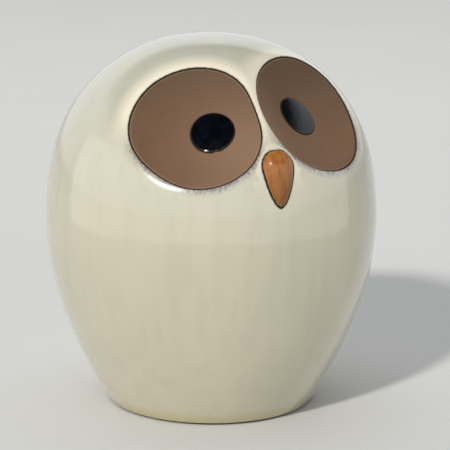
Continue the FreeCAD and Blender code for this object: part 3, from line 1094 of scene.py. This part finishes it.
def body_glaze():
    """Pale celadon over iron clay: runs and pools, a thin dark line where it stops."""
    m = Shader("body_glaze", Roughness=0.25, Coat_Weight=1.0, Coat_Roughness=0.03, Coat_IOR=1.5)
    edge, fall, height = m.value("edge"), m.value("fall"), m.axis("Z")

    runs = m.noise(210, 3, 0.5, stretch=(1, 1, 10))
    clouds = m.noise(34, 3, 0.5, stretch=(1, 1, 1.8))
    m.colour = m.mix(m.ramp(clouds, 0.3, 0.7), tone(198, 192, 168), tone(193, 188, 164))
    m.tint(m.ramp(runs, 0.4, 0.8, 0, 0.2), 162, 160, 143)
    m.tint(m.ramp(height, 0.007, 0.002, 0, 0.7), 182, 170, 124)
    # Painted shade: the glaze turns greyer towards the crown.
    m.tint(m.ramp(height, 0.085, 0.15, 0, 0.6), 190, 193, 182)

    rim = m.shaken(edge, m.noise(900, 2, 0.5), 0.5)
    cream = m.times(m.ramp(rim, 9.0, 1.0), m.ramp(fall, 0.35, -0.2))
    cream = m.times(cream, m.ramp(height, 0.096, 0.112, 0.15, 1.0))
    m.tint(m.times(cream, 0.95), 236, 228, 206)

    hairs = m.noise(1100, 2, 0.6, stretch=(1, 1, 6))
    reach = m.times(m.ramp(hairs, 0.28, 0.7), 2.8)
    drawn = m.ramp(m.math("SUBTRACT", reach, rim), -0.6, 1.6)
    fringe = m.times(drawn, m.ramp(fall, 0.1, 0.5))
    m.tint(m.times(fringe, 0.75), 104, 90, 92)
    haze = m.times(m.ramp(rim, 4.0, 0.3), m.ramp(fall, 0.1, 0.6))
    m.tint(m.times(haze, 0.5), 134, 134, 142)

    m.tint(m.ramp(rim, 0.9, 0.4, 0, 0.45), 118, 112, 92)
    line = m.mix(m.ramp(fall, 0.2, 0.6), tone(48, 40, 29), tone(84, 44, 31))
    bare = m.ramp(rim, 0.44, 0.24)
    m.colour = m.mix(bare, m.colour, line)
    m.tint(m.ramp(edge, -1.0, -3.0), 104, 80, 62)

    m.feed(m.surface.inputs["Coat Weight"], m.math("SUBTRACT", 1.0, bare))
    roughness = m.mix(bare, (0.22, 0.22, 0.22, 1), (0.8, 0.8, 0.8, 1))
    return m.finish(roughness, m.bump(m.noise(70, 2, 0.5), 0.00012))


def eye_clay():
    """Bare red-brown stoneware, smoothed with a sponge, darker and greyer at its edge. Painted
    light makes the discs paler towards +X, and painted shade darkens them towards the top and fills
    the pupil's socket.
    """
    m = Shader("eye_clay", Roughness=0.75, Specular_IOR_Level=0.2)
    edge = m.value("edge")
    clouds = m.noise(90, 3, 0.6)
    grain = m.noise(1700, 3, 0.75)
    m.colour = m.mix(m.ramp(clouds, 0.3, 0.7), tone(107, 80, 60), tone(99, 73, 54))
    # Painted light: the right eye's disc grows paler towards +X, and the left one is a little paler
    # all over.
    painted_light = m.ramp(m.axis("X"), -0.046, 0.0, 0, 0.95)
    m.tint(m.times(painted_light, m.ramp(m.axis("X"), 0.0, 0.012, 1, 0.3)), 138, 109, 86)
    m.tint(m.ramp(grain, 0.3, 0.8, 0, 0.5), 132, 103, 80)
    pits = m.ramp(m.noise(1400, 1, 0.5, shift=(3, 1, 7)), 0.70, 0.78)
    m.tint(m.times(pits, 0.4), 74, 54, 41)
    # Painted shade: each disc darkens towards its top.
    m.tint(m.ramp(m.axis("Z"), 0.110, 0.145, 0, 0.75), 82, 64, 48)
    m.tint(m.ramp(m.shaken(edge, clouds, 0.7), 1.0, 0.5, 0, 0.4), 142, 124, 102)
    m.tint(m.ramp(edge, 0.25, 0.12), 56, 38, 29)
    # Painted shade: the pupil's socket, seen as a thin ring round each pupil, is near black.
    m.tint(m.ramp(edge, IN_SOCKET - 1, IN_SOCKET), 34, 26, 21)
    return m.finish(m.ramp(grain, 0.2, 0.9, 0.68, 0.85), m.bump(grain, 0.00006))


def pupil_glaze():
    """Thick black glaze with a few pinholes, dull and thin at its rim."""
    m = Shader(
        "pupil_glaze", Roughness=0.08, Specular_IOR_Level=0.2,
        Coat_Weight=1.0, Coat_Roughness=0.03, Coat_IOR=1.5,
    )
    rim = m.value("rim")
    m.colour = m.mix(m.ramp(m.noise(260, 3, 0.6), 0.4, 0.8), tone(2, 3, 6), tone(8, 12, 26))
    m.tint(m.ramp(rim, 0.6, 0.2, 0, 0.6), 44, 38, 31)
    thin = m.ramp(rim, 0.55, 0.15)
    m.feed(m.surface.inputs["Coat Weight"], m.ramp(thin, 0, 1, 0.4, 0))
    pits = m.ramp(m.noise(1500, 2, 0.6), 0.62, 0.75)
    relief = m.math("ADD", m.noise(240, 2, 0.5), m.times(pits, -0.3))
    return m.finish(m.ramp(thin, 0, 1, 0.08, 0.5), m.bump(relief, 0.00005))


def beak_glaze():
    """Amber glaze, breaking darker in streaks, with a dark bare line at its foot."""
    m = Shader(
        "beak_glaze", Roughness=0.45, Specular_IOR_Level=0.1,
        Coat_Weight=0.55, Coat_Roughness=0.2, Coat_IOR=1.5,
    )
    streaks = m.noise(420, 3, 0.6, stretch=(1, 1, 4))
    m.colour = m.mix(m.ramp(m.axis("Z"), 0.094, 0.110), tone(142, 93, 42), tone(172, 108, 50))
    m.tint(m.ramp(streaks, 0.35, 0.7, 0, 0.75), 118, 70, 30)
    rim = m.shaken(m.value("rim"), m.noise(900, 2, 0.6), 0.8)
    m.tint(m.ramp(rim, 1.15, 0.7, 0, 0.5), 146, 118, 88)
    bare = m.ramp(rim, 0.62, 0.42)
    m.tint(bare, 40, 30, 20)
    m.feed(m.surface.inputs["Coat Weight"], m.ramp(bare, 0, 1, 0.5, 0))
    return m.finish(normal=m.bump(m.noise(500, 2, 0.5), 0.00006))


def bare_clay():
    """Dark sandy stoneware, darkened partly as painted shade of the gap under the glaze's edge,
    rubbed paler where it stands.
    """
    m = Shader("bare_clay", Roughness=0.85, Specular_IOR_Level=0.2)
    grain = m.noise(2200, 4, 0.75)
    # Both base tones are dark: partly the clay's own iron colour, partly painted shade of the gap
    # under the glaze's edge.
    m.colour = m.mix(m.ramp(m.noise(70, 3, 0.6), 0.3, 0.7), tone(86, 64, 48), tone(68, 49, 36))
    m.tint(m.ramp(grain, 0.45, 0.8, 0, 0.5), 120, 95, 74)
    m.tint(m.ramp(m.noise(900, 1, 0.5, shift=(9, 2, 4)), 0.68, 0.74), 52, 38, 30)
    m.tint(m.ramp(m.axis("Z"), 0.0006, 0.0001, 0, 0.35), 158, 132, 106)
    return m.finish(normal=m.bump(grain, 0.00025))


def stopper_rubber():
    """Cream moulded rubber with a fine matte skin, a little grubby in patches."""
    m = Shader("stopper_rubber", Roughness=0.6, Specular_IOR_Level=0.35)
    dirt = m.noise(160, 4, 0.65)
    relief = m.bump(m.noise(3000, 2, 0.6), 0.00006)
    m.colour = m.mix(m.ramp(dirt, 0.45, 0.75, 0, 0.6), tone(206, 198, 180), tone(168, 158, 138))
    return m.finish(m.ramp(dirt, 0.3, 0.7, 0.5, 0.7), relief)


# ---------------- stage


def floor_material():
    """Plain pale paper, hardly mottled."""
    m = Shader("studio_floor", Roughness=0.7, Specular_IOR_Level=0.1)
    m.colour = m.mix(m.noise(6, 2, 0.5), tone(220, 220, 219), tone(215, 215, 214))
    return m.finish()


def make_floor():
    """A wide level floor at the foot's height."""
    mesh = bpy.data.meshes.new("studio_floor")
    quarters = ((-1, -1), (1, -1), (1, 1), (-1, 1))
    corners = [(x * FLOOR_REACH, y * FLOOR_REACH, 0) for x, y in quarters]
    mesh.from_pydata(corners, [], [(0, 1, 2, 3)])
    mesh.materials.append(floor_material())
    put("studio_floor", mesh)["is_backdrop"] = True


def make_camera():
    """The camera at the photograph's viewing angle, with a slight roll."""
    target = Vector((0, 0, CAMERA_TARGET_HEIGHT))
    level = facing(CAMERA_AZIMUTH) * math.cos(CAMERA_ELEVATION)
    away = Vector(level + UP * math.sin(CAMERA_ELEVATION))
    camera = put("camera", bpy.data.cameras.new("camera"))
    camera.location = target + away * CAMERA_DISTANCE
    turn = (-away).to_track_quat("-Z", "Y") @ Matrix.Rotation(CAMERA_ROLL, 3, "Z").to_quaternion()
    camera.rotation_mode = "QUATERNION"
    camera.rotation_quaternion = turn
    camera.data.lens = CAMERA_LENS
    camera.data.sensor_width = CAMERA_SENSOR
    camera.data.shift_x = CAMERA_SHIFT
    camera.data.clip_start, camera.data.clip_end = CAMERA_CLIP
    bpy.context.scene.camera = camera


def make_light(name, kind, power, colour, place, target):
    """A light at a place, aimed at a target."""
    data = bpy.data.lights.new(name, kind)
    data.energy = power
    data.color = colour
    light = put(name, data)
    light.location = place
    away = Vector(target) - light.location
    light.rotation_euler = away.to_track_quat("-Z", "Y").to_euler()
    return light


def make_panel(size, *light):
    """A soft rectangular light."""
    panel = make_light(*light)
    panel.data.shape = "RECTANGLE"
    panel.data.size, panel.data.size_y = size
    return panel


def make_lights():
    """A far key from the left, windows that only reflections show, and a soft overhead fill."""
    key = make_light("key", "SUN", KEY_STRENGTH, KEY_COLOUR, KEY_PLACE, LIGHT_TARGET)
    key.data.angle = KEY_ANGLE
    centre = UP * WINDOW_SIZE[1] / 2
    for number, turn in enumerate(WINDOW_TURNS):
        name, place = f"window_{number}", centre + facing(math.radians(turn)) * WINDOW_REACH
        window = make_panel(WINDOW_SIZE, name, "AREA", WINDOW_POWER, WINDOW_COLOUR, place, centre)
        window.visible_camera = window.visible_diffuse = False
    fill = make_panel(FILL_SIZE, "fill", "AREA", FILL_POWER, FILL_COLOUR, FILL_PLACE, FILL_TARGET)
    fill.visible_camera = fill.visible_glossy = False
    make_world()


def make_world():
    """Pale round the horizon and dark overhead, as a room is."""
    world = bpy.data.worlds.new("studio")
    world.use_nodes = True
    tree = world.node_tree
    place = tree.nodes.new("ShaderNodeTexCoord")
    split = tree.nodes.new("ShaderNodeSeparateXYZ")
    fade = tree.nodes.new("ShaderNodeMapRange")
    fade.interpolation_type = "SMOOTHSTEP"
    for socket, value in zip(fade.inputs[1:], (*ROOM_FADE, ROOM_PALE, ROOM_DARK)):
        socket.default_value = value
    back = tree.nodes["Background"]
    back.inputs["Color"].default_value = ROOM_COLOUR
    tree.links.new(place.outputs["Generated"], split.inputs[0])
    tree.links.new(split.outputs["Z"], fade.inputs[0])
    tree.links.new(fade.outputs[0], back.inputs["Strength"])
    bpy.context.scene.world = world
    bpy.context.scene.view_settings.view_transform = "Standard"


# ---------------- the whole


def main():
    """Sets the stage and makes every piece."""
    make_camera()
    make_lights()
    make_floor()
    clay, glaze = eye_clay(), pupil_glaze()
    make_body(body_glaze())
    make_beak(beak_glaze())
    for eye in EYES:
        make_disc(eye, clay)
        make_pupil(eye, glaze)
    make_foot(bare_clay())
    make_stopper(stopper_rubber())


main()
visual_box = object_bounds()
boxes = {"cad": cad_box, "visual": visual_box}
{name: [list(corner) for corner in box] for name, box in boxes.items()}
